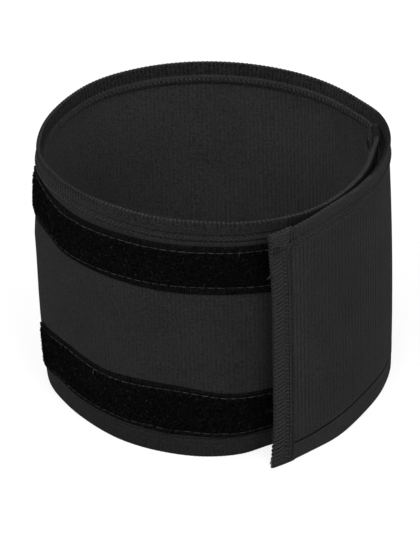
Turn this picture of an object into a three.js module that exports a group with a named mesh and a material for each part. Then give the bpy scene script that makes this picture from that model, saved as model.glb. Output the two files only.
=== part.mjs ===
// Elastic armband: one wide knitted strip, wrapped about one and a fifth turns round the arm and closed on itself
// by two rows of hook-and-loop tape. It stands on its lower rim, with the arm's axis upright.
// Millimetres, +Z up. The origin is at the middle of the band's box, on the ground.
import * as THREE from "three";

// The strip of elastic
const BAND_HEIGHT = 95;
const WALL = 1.3; // one layer of elastic
const HEM_WALL = 2.2; // the turned-in edge, two layers pressed by the sewing
const WAIST_HEIGHT = 40;
const SHOULDER_HEIGHT = 86; // the upper hem flares above this
const GROOVE_HEIGHT = 7.4; // from the edge to the groove that the hem's stitches pull into the outer face
const GROOVE_DEPTH = 0.3;
const GROOVE_HALF_WIDTH = 0.5;
const RIDGE_HEIGHT = 5.3; // from the edge to the cover-stitch row that covers the hem's raw edge, on the inside
const RIDGE_WALL = 2.5;
const RIDGE_WIDTH = 2.6;
const RIDGE_STEP = 0.4; // the slope beside the ridge
const EDGE_ROUNDING = 0.6;
const END_HEM_LENGTH = 9;
const END_HEM_STEP = 0.7; // the slope from the end hem down to one layer
const FREE_END_RISE = 0.8; // the thick corner of the free end stands this much above the upper edge

// The two rows of tape
const TAPE_GAP = 0.3;
const SELVEDGE_WIDTH = 2.3;
const SELVEDGE_THICKNESS = 0.5;
const PILE_THICKNESS = 1.0;
const PILE_SHOULDER = 0.5; // the pile rises to its full height over this width
const HOOK_WIDTH = 16; // narrower than the loop tape, clear of the hem's ridge
const HOOK_THICKNESS = 0.6;
const LOWER_HOOK_FOOT = 9.5;
const UPPER_HOOK_FOOT = 68.2;

// Where each piece starts and ends, in degrees clockwise from +X as seen from above
const INNER_END = -8;
const FREE_END = 431.4;
const HOOK_START = 362;
const HOOK_END = 419;
const STATION_STEP = 5;

// The arm's axis, from the middle of the band's box
const AXIS_X = -3.61;
const AXIS_Y = 5.1;

// The band's outer face: its distance from the arm's axis at the ground, at the waist, at the shoulder and at the
// upper rim. The inner layer lies under the outer one up to 54 degrees, where it turns in behind the free end.
const LAYOUT = [
  { turn: -8, foot: 61.0, waist: 61.2, shoulder: 61.6, rim: 63.2 },
  { turn: 16, foot: 61.9, waist: 62.1, shoulder: 62.3, rim: 63.0 },
  { turn: 36, foot: 61.1, waist: 61.4, shoulder: 61.5, rim: 62.9 },
  { turn: 54, foot: 59.4, waist: 62.6, shoulder: 62.3, rim: 63.8 },
  { turn: 67, foot: 56.7, waist: 62.2, shoulder: 61.6, rim: 62.7 },
  { turn: 79, foot: 58.6, waist: 60.4, shoulder: 60.4, rim: 60.7 },
  { turn: 91, foot: 58.8, waist: 58.8, shoulder: 58.5, rim: 58.4 },
  { turn: 106, foot: 57.3, waist: 57.2, shoulder: 56.9, rim: 56.9 },
  { turn: 122, foot: 56.1, waist: 55.9, shoulder: 55.3, rim: 55.2 },
  { turn: 140, foot: 55.3, waist: 55.7, shoulder: 55.1, rim: 55.1 },
  { turn: 156, foot: 55.9, waist: 57.0, shoulder: 56.1, rim: 56.0 },
  { turn: 172, foot: 57.8, waist: 59.3, shoulder: 57.8, rim: 57.6 },
  { turn: 190, foot: 58.6, waist: 60.0, shoulder: 58.4, rim: 57.8 },
  { turn: 212, foot: 58.6, waist: 59.2, shoulder: 58.6, rim: 58.4 },
  { turn: 231, foot: 59.7, waist: 60.0, shoulder: 59.7, rim: 59.6 },
  { turn: 250, foot: 59.3, waist: 59.4, shoulder: 59.3, rim: 59.2 },
  { turn: 272, foot: 58.9, waist: 58.9, shoulder: 58.9, rim: 58.9 },
  { turn: 294, foot: 59.3, waist: 59.4, shoulder: 59.3, rim: 59.3 },
  { turn: 316, foot: 61.0, waist: 61.2, shoulder: 61.0, rim: 61.0 },
  { turn: 335, foot: 63.4, waist: 63.6, shoulder: 63.3, rim: 63.4 },
  { turn: 347, foot: 66.2, waist: 66.5, shoulder: 66.0, rim: 66.3 },
  { turn: 360, foot: 67.3, waist: 67.7, shoulder: 66.6, rim: 67.1 },
  { turn: 376, foot: 66.2, waist: 66.6, shoulder: 66.1, rim: 66.4 },
  { turn: 392, foot: 65.1, waist: 65.5, shoulder: 65.6, rim: 65.8 },
  { turn: 407, foot: 66.4, waist: 66.1, shoulder: 65.9, rim: 65.9 },
  { turn: 419, foot: 68.2, waist: 68.0, shoulder: 68.3, rim: 68.7 },
  { turn: 431.4, foot: 71.1, waist: 71.5, shoulder: 72.4, rim: 72.9 },
];

// The lower and upper edge of each loop tape. The tapes are sewn on a little unevenly, so their edges wander.
const UPPER_TAPE = [
  { turn: 3, foot: 66.7, head: 85.8 },
  { turn: 72, foot: 67.3, head: 86.1 },
  { turn: 98, foot: 66.8, head: 86.1 },
  { turn: 120, foot: 66.6, head: 86.0 },
  { turn: 142, foot: 66.4, head: 85.7 },
  { turn: 181, foot: 66.7, head: 85.7 },
];
const LOWER_TAPE = [
  { turn: 3, foot: 8.0, head: 27.2 },
  { turn: 66, foot: 8.0, head: 27.2 },
  { turn: 82, foot: 7.4, head: 26.8 },
  { turn: 97, foot: 8.3, head: 28.9 },
  { turn: 111, foot: 8.6, head: 29.0 },
  { turn: 127, foot: 8.1, head: 28.2 },
  { turn: 149, foot: 8.9, head: 29.6 },
  { turn: 171, foot: 8.1, head: 27.6 },
];

// How fast a column of a table changes at a row, from the rows on both sides
function slopeAt(table, row, column) {
  const before = table[Math.max(row - 1, 0)];
  const after = table[Math.min(row + 1, table.length - 1)];
  return (after[column] - before[column]) / (after.turn - before.turn);
}

// A smooth curve through one column of a table
function valueOf(table, column, turn) {
  let row = 0;
  while (row < table.length - 2 && turn > table[row + 1].turn) {
    row += 1;
  }
  const from = table[row];
  const to = table[row + 1];
  const span = to.turn - from.turn;
  const t = (turn - from.turn) / span;
  const smooth = t * t * (3 - 2 * t);
  const leave = t * (1 - t) * (1 - t);
  const arrive = t * t * (1 - t);
  const bend = span * (leave * slopeAt(table, row, column) - arrive * slopeAt(table, row + 1, column));
  return from[column] + (to[column] - from[column]) * smooth + bend;
}

// The outer face's distance from the axis at a height: a belly from the ground to the shoulder, and a straight
// flare from the shoulder to the rim
function outerRadius(turn, height) {
  const shoulder = valueOf(LAYOUT, "shoulder", turn);
  if (height > SHOULDER_HEIGHT) {
    const above = (height - SHOULDER_HEIGHT) / (BAND_HEIGHT - SHOULDER_HEIGHT);
    return shoulder + (valueOf(LAYOUT, "rim", turn) - shoulder) * above;
  }
  const foot = valueOf(LAYOUT, "foot", turn);
  const up = height / SHOULDER_HEIGHT;
  const waistUp = WAIST_HEIGHT / SHOULDER_HEIGHT;
  const straight = foot + (shoulder - foot) * up;
  const straightWaist = foot + (shoulder - foot) * waistUp;
  const belly = (valueOf(LAYOUT, "waist", turn) - straightWaist) * ((up * (1 - up)) / (waistUp * (1 - waistUp)));
  return straight + belly;
}

// A point on the band: so far inside its outer face (negative is outside it), at a turn and a height
function pointAt(turn, height, inset) {
  const angle = THREE.MathUtils.degToRad(-turn);
  const radius = outerRadius(turn, height) - inset;
  return [AXIS_X + radius * Math.cos(angle), AXIS_Y + radius * Math.sin(angle), height];
}

// The turn reached after going some millimetres along the outer face
function turnAfter(turn, millimetres) {
  const radius = outerRadius(turn, BAND_HEIGHT / 2);
  return turn + THREE.MathUtils.radToDeg(millimetres / radius);
}

// The turns where sections are placed: both ends, the extra ones asked for, and even steps between
function stationsBetween(start, end, extra = []) {
  const turns = [start, ...extra, end];
  for (let k = Math.ceil(start / STATION_STEP); k * STATION_STEP < end; k += 1) {
    const turn = k * STATION_STEP;
    if (turns.every((taken) => Math.abs(taken - turn) > STATION_STEP / 9)) {
      turns.push(turn);
    }
  }
  return turns.sort((a, b) => a - b);
}

// The triangles that close an end: they zip the section's outside to its inside, both listed going up
function capOf(outside, inside) {
  const corners = outside.length + inside.length;
  const triangles = [];
  let out = 0;
  let inn = 0;
  while (out < outside.length - 1 || inn < inside.length - 1) {
    const insideDone = inn === inside.length - 1;
    const outsideDone = out === outside.length - 1;
    const outsideNext = insideDone || (!outsideDone && outside[out + 1].height <= inside[inn + 1].height);
    if (outsideNext) {
      triangles.push([out, out + 1, corners - 1 - inn]);
      out += 1;
    } else {
      triangles.push([out, corners - 2 - inn, corners - 1 - inn]);
      inn += 1;
    }
  }
  return triangles;
}

// A closed solid swept along the band: sectionAt gives its outline at a turn, as the corners of its outside and
// of its inside, both going up
function sweep(name, stations, sectionAt, colour, roughness) {
  const positions = [];
  const triangles = [];
  const ends = sectionAt(stations[0]);
  const corners = ends.outside.length + ends.inside.length;
  for (const turn of stations) {
    const { outside, inside } = sectionAt(turn);
    for (const { inset, height } of [...outside, ...inside.reverse()]) {
      positions.push(...pointAt(turn, height, inset));
    }
  }
  for (let s = 0; s + 1 < stations.length; s += 1) {
    for (let c = 0; c < corners; c += 1) {
      const near = s * corners + c;
      const nearNext = s * corners + ((c + 1) % corners);
      triangles.push(near, nearNext, near + corners);
      triangles.push(nearNext, nearNext + corners, near + corners);
    }
  }
  const last = (stations.length - 1) * corners;
  for (const [a, b, c] of capOf(ends.outside, ends.inside)) {
    triangles.push(c, b, a);
    triangles.push(last + a, last + b, last + c);
  }
  const geometry = new THREE.BufferGeometry();
  geometry.setAttribute("position", new THREE.Float32BufferAttribute(positions, 3));
  geometry.setIndex(triangles);
  geometry.computeVertexNormals();
  const material = new THREE.MeshStandardMaterial({ color: colour, roughness, metalness: 0 });
  const mesh = new THREE.Mesh(geometry, material);
  mesh.name = name;
  return mesh;
}

const FREE_HEM_START = turnAfter(FREE_END, -END_HEM_LENGTH);
const FREE_HEM_FOOT = turnAfter(FREE_END, -END_HEM_LENGTH - END_HEM_STEP);
const INNER_HEM_START = turnAfter(INNER_END, END_HEM_LENGTH);
const INNER_HEM_FOOT = turnAfter(INNER_END, END_HEM_LENGTH + END_HEM_STEP);

// A corner of a section: so far inside the band's outer face, at a height
function corner(inset, height) {
  return { inset, height };
}

// The heights between the hems where the wall has a corner: at the tapes' middles and edges and halfway up
const WALL_HEIGHTS = [17.5, 28, 47, 66.7, 76];

// The band's section: hems with a stitch groove outside and a cover-stitch ridge inside, one layer between them
function bandSection(turn) {
  const atFreeHem = turn >= FREE_HEM_START - 1e-6;
  const atInnerHem = turn <= INNER_HEM_START + 1e-6;
  const middle = atFreeHem || atInnerHem ? HEM_WALL : WALL;
  const top = BAND_HEIGHT + (atFreeHem ? FREE_END_RISE : 0);
  const lowerGroove = GROOVE_HEIGHT;
  const upperGroove = BAND_HEIGHT - GROOVE_HEIGHT;
  const lowerRidge = RIDGE_HEIGHT;
  const upperRidge = BAND_HEIGHT - RIDGE_HEIGHT;
  const outside = [
    corner(EDGE_ROUNDING, 0),
    corner(0, EDGE_ROUNDING),
    corner(0, lowerGroove - GROOVE_HALF_WIDTH),
    corner(GROOVE_DEPTH, lowerGroove),
    corner(0, lowerGroove + GROOVE_HALF_WIDTH),
    ...WALL_HEIGHTS.map((height) => corner(0, height)),
    corner(0, SHOULDER_HEIGHT),
    corner(0, upperGroove - GROOVE_HALF_WIDTH),
    corner(GROOVE_DEPTH, upperGroove),
    corner(0, upperGroove + GROOVE_HALF_WIDTH),
    corner(0, top - EDGE_ROUNDING),
    corner(EDGE_ROUNDING, top),
  ];
  const inside = [
    corner(HEM_WALL - EDGE_ROUNDING, 0),
    corner(HEM_WALL, EDGE_ROUNDING),
    corner(HEM_WALL, lowerRidge - RIDGE_STEP),
    corner(RIDGE_WALL, lowerRidge),
    corner(RIDGE_WALL, lowerRidge + RIDGE_WIDTH),
    corner(middle, lowerRidge + RIDGE_WIDTH + RIDGE_STEP),
    ...WALL_HEIGHTS.map((height) => corner(middle, height)),
    corner(middle, upperRidge - RIDGE_WIDTH - RIDGE_STEP),
    corner(RIDGE_WALL, upperRidge - RIDGE_WIDTH),
    corner(RIDGE_WALL, upperRidge),
    corner(HEM_WALL, upperRidge + RIDGE_STEP),
    corner(HEM_WALL, top - EDGE_ROUNDING),
    corner(HEM_WALL - EDGE_ROUNDING, top),
  ];
  return { outside, inside };
}

// A loop tape's section on the band's outer face: a raised pile between two flat selvedges
function loopSection(edges, turn) {
  const face = -TAPE_GAP;
  const selvedge = face - SELVEDGE_THICKNESS;
  const pile = face - PILE_THICKNESS;
  const foot = valueOf(edges, "foot", turn);
  const head = valueOf(edges, "head", turn);
  const middle = (foot + head) / 2;
  const outside = [
    corner(selvedge, foot),
    corner(selvedge, foot + SELVEDGE_WIDTH),
    corner(pile, foot + SELVEDGE_WIDTH + PILE_SHOULDER),
    corner(pile, middle),
    corner(pile, head - SELVEDGE_WIDTH - PILE_SHOULDER),
    corner(selvedge, head - SELVEDGE_WIDTH),
    corner(selvedge, head),
  ];
  const inside = [
    corner(face, foot),
    corner(face, foot + SELVEDGE_WIDTH),
    corner(face, middle),
    corner(face, head - SELVEDGE_WIDTH),
    corner(face, head),
  ];
  return { outside, inside };
}

// A hook tape's section on the inner face of the overlapping end: a plain flat strip
function hookSection(foot) {
  const face = WALL + TAPE_GAP;
  const hooks = face + HOOK_THICKNESS;
  const middle = foot + HOOK_WIDTH / 2;
  const head = foot + HOOK_WIDTH;
  return {
    outside: [corner(face, foot), corner(face, middle), corner(face, head)],
    inside: [corner(hooks, foot), corner(hooks, middle), corner(hooks, head)],
  };
}

function makeBand() {
  const hemTurns = [INNER_HEM_START, INNER_HEM_FOOT, FREE_HEM_FOOT, FREE_HEM_START];
  return sweep("band", stationsBetween(INNER_END, FREE_END, hemTurns), bandSection, 0x262626, 0.85);
}

function makeLoopTape(name, edges) {
  const stations = stationsBetween(edges[0].turn, edges[edges.length - 1].turn);
  return sweep(name, stations, (turn) => loopSection(edges, turn), 0x070707, 0.95);
}

function makeHookTape(name, foot) {
  return sweep(name, stationsBetween(HOOK_START, HOOK_END), () => hookSection(foot), 0x0a0a0a, 0.6);
}

const armband = new THREE.Group();
armband.add(makeBand());
armband.add(makeLoopTape("loop_strip_upper", UPPER_TAPE));
armband.add(makeLoopTape("loop_strip_lower", LOWER_TAPE));
armband.add(makeHookTape("hook_strip_upper", UPPER_HOOK_FOOT));
armband.add(makeHookTape("hook_strip_lower", LOWER_HOOK_FOOT));

export default armband;
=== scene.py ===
# Looks of the elastic armband: a knitted strip wrapped round the arm's axis, hemmed and overlocked at its
# ends, with two rows of hook-and-loop tape. Dense cloth, real threads and looped pile replace the solids.
# Metres, +Z up, in the part's own frame. Turns are degrees clockwise from +X, seen from above.
import math

import bpy
import numpy as np
from mathutils import Matrix, Vector


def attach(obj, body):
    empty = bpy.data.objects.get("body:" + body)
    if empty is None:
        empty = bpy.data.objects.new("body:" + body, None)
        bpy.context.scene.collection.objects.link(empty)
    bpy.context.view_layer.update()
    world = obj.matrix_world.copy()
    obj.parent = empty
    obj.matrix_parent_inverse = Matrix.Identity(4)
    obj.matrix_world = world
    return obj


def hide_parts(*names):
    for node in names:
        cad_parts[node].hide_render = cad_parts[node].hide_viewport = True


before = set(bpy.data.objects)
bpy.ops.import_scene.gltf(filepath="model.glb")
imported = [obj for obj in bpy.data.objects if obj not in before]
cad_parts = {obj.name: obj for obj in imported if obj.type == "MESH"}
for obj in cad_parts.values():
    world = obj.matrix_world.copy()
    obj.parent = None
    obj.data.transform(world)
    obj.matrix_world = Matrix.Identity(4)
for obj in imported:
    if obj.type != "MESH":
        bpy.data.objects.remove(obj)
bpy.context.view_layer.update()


def named_rows(columns, *rows):
    """A table of rows with named columns."""
    names = columns.split()
    return [dict(zip(names, row)) for row in rows]


# The strip of elastic
BAND_HEIGHT = 0.095
WALL = 0.0013
HEM_WALL = 0.0022
FOLD_WALL = 0.0016  # the hem at its folded edge
RIDGE_WALL = 0.0025
WAIST_HEIGHT = 0.040
SHOULDER_HEIGHT = 0.086
INNER_END = -8.0
FREE_END = 431.4
AXIS_X = -0.00361
AXIS_Y = 0.0051

# Hems: distances from the edge of the strip
INNER_ROW = 0.0049  # the needle row nearer the edge
OUTER_ROW = 0.0074  # the needle row that catches the hem's raw edge, in a groove
RIDGE_NEAR = 0.0052  # the cover-stitch ridge inside, from here
RIDGE_FAR = 0.0079  # to here
END_HEM = 0.0088
END_STEP = 0.0007
HEM_ROWS = 8  # the section's rows from the edge to the foot of the ridge, inside
GROOVE_ROW = 8  # the section's row at the start of the lower hem's groove
FREE_RISE = 0.0008  # how much higher the free end's hem stands
INNER_DROP = 0.0011  # how much lower the inner end's hem stands
NOTCH = 0.0008  # the dip in the rim beside the inner end's hem
FRONT_RISE = 0.0004  # how much higher the rim is at the front
FRONT_TURN = (105, 70)  # the middle and the reach of that stretch, in degrees
FOOT_LIFT = 0.00045  # how much the foot lifts beside the free end's hem
EDGE_HEIGHT = 0.0007  # how far the folded edge's rounding reaches
EDGE_SQUARENESS = 0.77
EDGE_ANGLES = (0, 24, 50, 78)  # the points of that rounding, in degrees
END_STOP = 0.0003  # the last section's distance from the free end's fold
LEAN_REACH = 16  # the degrees over which the free end's lean grows
SWELL = 0.00045  # the wall's swell just under the upper tape, at the left
SWELL_TURN = (176, 34)  # its middle and its reach, in degrees
SWELL_HEIGHT = (0.059, 0.011)  # and in height
SEAM = 0.0078  # the sewn line beside the free end's overlock
SEAM_DEPTH = 0.00055
CORNER_SHIFT = 0.0011  # how much further from the end that line runs in the folded corner
SEAM_COLUMNS = (-0.0014, -0.00125, -0.0011, -0.00095, -0.0008, -0.0003, -0.00015, 0, 0.00015)

# The strip's section: its plain heights, and each groove's points as (height from its middle, depth). The
# lower groove's depths are shares of the depth in its table
OUTSIDE_HEIGHTS = (0.0115, 0.018, 0.026, 0.035, 0.044, 0.052, 0.059, 0.066, 0.074, 0.083)
INSIDE_HEIGHTS = (0.084, 0.078, 0.071, 0.064, 0.057, 0.050, 0.043, 0.036, 0.029, 0.021, 0.014)
LOWER_CUT = ((-0.0009, -0.2), (-0.00025, -0.1), (-0.00020, 1.0), (0.00020, 1.0), (0.00025, -0.1),
             (0.0010, -0.2))
UPPER_CUT = ((-0.0008, 0.0), (-0.00018, 0.0), (-0.00014, 0.00045), (0.00014, 0.00045), (0.00018, 0.0),
             (0.0008, -0.00004))
NEEDLE_CUT = ((-0.0004, 0.0), (-0.00012, 0.00019), (0.00012, 0.00019), (0.00017, 0.0))

# Where the strip's looks change, in degrees
HIGHLIGHT_WIDE_TO = 50  # the fold's crest carries a painted highlight, wider up to here
UNDER_FREE_END = (345, 386)
# painted shadow: the free end's shadow on the inner layer's hem, in the fold's dark knit
PAINTED_SHADOW_HEM = (36, 63)
# the inner face's painted light, with more painted shade between its ribs, here
RIBBED_BACK = (292, 345)
# painted shade in the lower hem's groove, from here
GROOVE_SHADE_FROM = 368
DRAWN_KNIT = (0.0084, 0.0155)  # metres from the free end

# Knit and threads
RIB_PITCH = 0.00154
RIB_RELIEF = 0.00007
STRONG_RIBS = {"outside": (0.4, 395, 40), "inside": (1.4, 312, 45)}  # how much more, middle and reach
COURSE_PITCH = 0.00075
COURSE_SHARE = 0.22
PATCH_SIZE = 24.0  # the yarn's lighter and darker patches, in flecks
PATCH_SHARE = 0.10
SHADE_LIMITS = (0.38, 0.62)  # where the noise reaches the dark and the light shade
THREAD_RELIEF = 0.00003
TAPE_SHEEN = 0.003
STITCH_PITCH = 0.00173
NEEDLE_PITCH = STITCH_PITCH * 1.5
END_ROW_PITCH = 0.0026
OUTER_ROW_TO = 352  # the lower hem's outer needle row ends here, in degrees
OVERLOCK_PITCH = 0.00163
OVERLOCK_REACH = 0.0044
OVERLOCK_START = 0.0002  # the strokes' distance from the end
FREE_OVERLOCK_TOP = 0.0885
INNER_OVERLOCK_TOP = 0.0935
TIP_SHARE = 0.15  # a thread's thickness at its tips
CORNER_WIDTH = 0.0083
CORNER_ROUND = 0.0021
CORNER_FOOT = 0.0902

# The band's outer face: its distance from the axis at the ground, the waist, the shoulder and the upper rim
LAYOUT = named_rows(
    "turn foot waist shoulder rim",
    (-8, 0.0610, 0.0612, 0.0616, 0.0632),
    (0, 0.0613, 0.0615, 0.0618, 0.0632),
    (10, 0.0617, 0.0619, 0.0622, 0.0618),
    (20, 0.0619, 0.0621, 0.0623, 0.0621),
    (36, 0.0611, 0.0614, 0.0615, 0.0629),
    (54, 0.0594, 0.0626, 0.0623, 0.0638),
    (67, 0.0572, 0.0622, 0.0616, 0.0627),
    (79, 0.0592, 0.0604, 0.0604, 0.0607),
    (91, 0.0592, 0.0588, 0.0585, 0.0584),
    (106, 0.0578, 0.0572, 0.0569, 0.0569),
    (122, 0.0565, 0.0559, 0.0553, 0.0552),
    (140, 0.0553, 0.0557, 0.0551, 0.0551),
    (156, 0.0559, 0.0570, 0.0561, 0.0560),
    (172, 0.0578, 0.0593, 0.0578, 0.0576),
    (190, 0.0586, 0.0600, 0.0584, 0.0578),
    (212, 0.0586, 0.0592, 0.0586, 0.0584),
    (231, 0.0597, 0.0600, 0.0597, 0.0596),
    (250, 0.0593, 0.0594, 0.0593, 0.0592),
    (272, 0.0589, 0.0589, 0.0589, 0.0589),
    (294, 0.0593, 0.0594, 0.0593, 0.0593),
    (316, 0.0610, 0.0612, 0.0610, 0.0610),
    (335, 0.0634, 0.0636, 0.0633, 0.0634),
    (347, 0.0662, 0.0665, 0.0660, 0.0663),
    (360, 0.0673, 0.0677, 0.0666, 0.0671),
    (376, 0.0662, 0.0666, 0.0661, 0.0664),
    (392, 0.0655, 0.0655, 0.0656, 0.0658),
    (407, 0.0670, 0.0661, 0.0659, 0.0659),
    (419, 0.0685, 0.0680, 0.0683, 0.0687),
    (431.4, 0.0711, 0.0715, 0.0724, 0.0729),
)

# Each loop tape's edges, and the two stitch lines that hold it
UPPER_TAPE = named_rows(
    "turn foot low_line high_line head",
    (3, 0.0667, 0.0693, 0.0834, 0.0858),
    (72, 0.0673, 0.0700, 0.0837, 0.0861),
    (98, 0.0670, 0.0698, 0.0837, 0.0860),
    (120, 0.0668, 0.0690, 0.0833, 0.0856),
    (142, 0.0668, 0.0683, 0.0828, 0.0851),
    (151, 0.0671, 0.0686, 0.0830, 0.0857),
    (158, 0.0689, 0.0704, 0.0843, 0.0863),
    (165, 0.0698, 0.0713, 0.0858, 0.0871),
    (172, 0.0697, 0.0713, 0.0866, 0.0882),
    (181, 0.0692, 0.0708, 0.0836, 0.0857),
)
LOWER_TAPE = named_rows(
    "turn foot low_line high_line head",
    (3, 0.0080, 0.0098, 0.0252, 0.0272),
    (66, 0.0088, 0.0103, 0.0250, 0.0269),
    (82, 0.0084, 0.0099, 0.0247, 0.0264),
    (97, 0.0090, 0.0107, 0.0267, 0.0286),
    (104, 0.0087, 0.0104, 0.0270, 0.0290),
    (111, 0.0089, 0.0108, 0.0266, 0.0288),
    (120, 0.0089, 0.0103, 0.0259, 0.0282),
    (130, 0.0091, 0.0105, 0.0256, 0.0275),
    (136, 0.0090, 0.0104, 0.0259, 0.0278),
    (149, 0.0094, 0.0108, 0.0272, 0.0289),
    (157, 0.0100, 0.0114, 0.0268, 0.0287),
    (171, 0.0088, 0.0104, 0.0251, 0.0271),
)
# The lower hem's outer stitch groove: it runs higher and cuts deeper on the free end
LOWER_GROOVE = named_rows(
    "turn height depth",
    (-8, 0.0074, 0.00030),
    (360, 0.0076, 0.00040),
    (374, 0.0084, 0.00070),
    (387, 0.0090, 0.00080),
    (407, 0.0085, 0.00080),
    (420, 0.0075, 0.00075),
    (431.4, 0.0073, 0.00010),
)
# The knit's ribs stand further apart where the strip is stretched
RIB_PITCHES = named_rows(
    "turn pitch",
    (-8, 0.00156), (120, 0.00152), (200, 0.00155), (270, 0.00164), (340, 0.00167), (385, 0.00186),
    (431.4, 0.00168),
)
# The free end's edge isn't quite upright: how many degrees further back it ends at each height
END_LEAN = named_rows(
    "height back",
    (-0.010, -1.15), (0.000, -1.10), (0.0025, -0.60), (0.0045, -0.35), (0.007, -0.18), (0.012, 0.18),
    (0.020, 0.46), (0.060, 0.50), (0.070, 0.36), (0.078, 0.02), (0.086, -0.45), (0.091, -0.60),
    (0.094, -0.78), (0.096, -1.15), (0.110, -1.15),
)
# Painted light and shade in each zone of the strip's section, as shares of its material's own shades: turn
# and share
PAINTED_SHADING = {
    "lower_hem": {60: 1.0, 70: 0.95, 80: 0.82, 90: 0.77, 105: 0.72, 123: 0.68, 142: 0.86, 163: 0.89,
                  190: 1.0},
    "outer_wall": {90: 1.0, 108: 0.94, 122: 0.97, 140: 1.02, 165: 1.12, 185: 1.12, 205: 1.0,
                   385: 1.0, 398: 0.89, 410: 0.90, 422: 1.0},
    "stitch_rows": {74: 1.0, 88: 0.93, 107: 0.89, 123: 0.84, 139: 1.03, 165: 1.08, 190: 1.0},
    "upper_hem": {105: 1.0, 123: 1.16, 142: 1.28, 166: 1.28, 190: 1.1, 210: 1.0},
    "crest": {60: 1.0, 74: 0.87, 88: 0.88, 105: 1.0, 124: 1.0, 142: 0.84, 165: 0.85, 190: 0.9, 215: 1.0},
    "inner_hem": {165: 1.05, 190: 1.1, 212: 1.08, 232: 1.02, 252: 1.05, 290: 1.13, 308: 1.3, 325: 1.5,
                  345: 1.4},
    "ridge": {170: 0.5, 215: 0.6, 245: 0.75, 290: 0.72, 325: 0.85},
    "under_ridge": {170: 0.7, 212: 0.72, 234: 0.85, 252: 1.25, 270: 1.35, 292: 1.35, 312: 1.25, 335: 1.15},
    "inner_wall": {180: 0.92, 212: 0.85, 232: 0.86, 252: 0.97, 270: 1.0},
}
# The section's rows in each zone of painted light and shade: the first, and the one after the last
PAINTED_SHADING_ROWS = {
    "lower_hem": (0, 9), "outer_wall": (13, 23), "stitch_rows": (23, 33), "upper_hem": (33, 35),
    "crest": (35, 42), "inner_hem": (42, 47), "ridge": (47, 49), "under_ridge": (49, 52),
    "inner_wall": (52, 66),
}
# How much paler a zone's ribs are painted on top, as painted light (darker below 0, as painted shade), and
# the painted light and shade on the upper hem's stitches
PAINTED_RIB_LIGHT = {
    "upper_hem": {60: 0.0, 74: -0.25, 128: -0.25, 145: 0.25, 175: 0.35, 200: 0.0},
    "crest": {120: 0.0, 140: 0.15, 160: 0.3, 180: 0.15, 200: 0.0},
    "inner_hem": {150: 0.0, 178: 0.15, 205: 0.35, 232: 0.15, 260: 0.0},
}
UPPER_STITCH_SHADING = {60: 1.0, 74: 0.85, 88: 0.78, 107: 0.90, 123: 1.02, 139: 1.05, 155: 1.20, 175: 1.20,
                  200: 1.0}

TAPES = {"upper": UPPER_TAPE, "lower": LOWER_TAPE}
TAPE_END_LIFT = {"upper": 0.0002, "lower": 0.0006}
SELVEDGE_LIFT = 0.0006
PILE_BASE_LIFT = 0.0008
TAPE_STITCH = 0.0033
TICK_PITCH = 0.0009
TAPE_END_REACH = 14  # the degrees over which a tape's end lifts
PILE_ROWS = (4, 16)  # the first row of the tape's section under the pile, and the one after the last
LOOP_SIZE = (0.00026, 0.00050)
LOOP_RADIUS = (0.00006, 0.00010)
LOOPS_PER_TAPE = 5900
# Lighter loops among the pile: pale fibres, and painted glints of loops that catch the light
SPECKS_AND_GLINTS_PER_TAPE = 700
# Loose thread ends at the tapes: each one's radius, and the turn, height and lift of its points
LOOSE_THREADS = {
    "upper": [(0.00017, [(78.3, 0.0846, 0.0008), (78.6, 0.0836, 0.0013), (78.9, 0.0824, 0.0010)]),
              (0.00020, [(72.42, 0.0775, 0.0090), (72.27, 0.0787, 0.0102), (71.92, 0.0796, 0.0106),
                         (71.66, 0.0803, 0.0108)])],
    "lower": [(0.00018, [(134.6, 0.0262, 0.0009), (134.8, 0.0247, 0.0013), (134.9, 0.0236, 0.0010)])],
}

# The hook tapes, hidden on the inner face of the overlapping end
HOOK_START = 362.0
HOOK_END = 419.0
HOOK_WIDTH = 0.016
HOOK_FEET = {"upper": 0.0682, "lower": 0.0095}
HOOK_BASE = 0.0004
HOOK_SPACING = 0.0014

# The camera: its distance, the angle it looks down at, its turn about its own axis, and where the object sits
CAMERA_DISTANCE = 1.3
CAMERA_ELEVATION = math.radians(31.0)
CAMERA_ROLL = math.radians(1.6)
CAMERA_LENS = 241.6
CAMERA_SHIFT = (0.01204, -0.02815)

# The soft boxes: degrees from the front (positive is right), metres and watts
SOFT_BOXES = named_rows(
    "name azimuth away height size power",
    ("far_left", -78, 1.35, 0.90, 0.9, 21),
    ("near_left", -26, 1.35, 1.25, 0.9, 32),
    ("near_right", 26, 1.35, 1.25, 0.9, 28),
    ("far_right", 78, 1.35, 0.62, 0.9, 27),
    ("top", 0, 0.02, 1.10, 0.5, 7),
)

random = np.random.default_rng(8229)


def curve(table, column, at):
    """A smooth curve through one column of a table, at an array of values of the table's first column."""
    first = next(iter(table[0]))
    marks = np.array([row[first] for row in table], float)
    values = np.array([row[column] for row in table], float)
    before = np.maximum(np.arange(len(marks)) - 1, 0)
    after = np.minimum(np.arange(len(marks)) + 1, len(marks) - 1)
    slopes = (values[after] - values[before]) / (marks[after] - marks[before])
    at = np.asarray(at, float)
    row = np.clip(np.searchsorted(marks, at) - 1, 0, len(marks) - 2)
    span = marks[row + 1] - marks[row]
    t = (at - marks[row]) / span
    smooth = t * t * (3 - 2 * t)
    bend = span * (t * (1 - t) ** 2 * slopes[row] - t * t * (1 - t) * slopes[row + 1])
    return values[row] + (values[row + 1] - values[row]) * smooth + bend


def share_at(turn, shares):
    """A share between the turns of a short table."""
    return np.interp(turn, list(shares), list(shares.values()))


def bump(value, centre, reach):
    """1 at the centre, falling smoothly to 0 at the reach."""
    away = np.clip(np.abs(np.asarray(value) - centre) / reach, 0, 1)
    return np.cos(away * math.pi / 2) ** 2


def step(value, start, end):
    """0 before the start, 1 after the end, smooth between."""
    t = np.clip((np.asarray(value) - start) / (end - start), 0, 1)
    return t * t * (3 - 2 * t)


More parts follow.
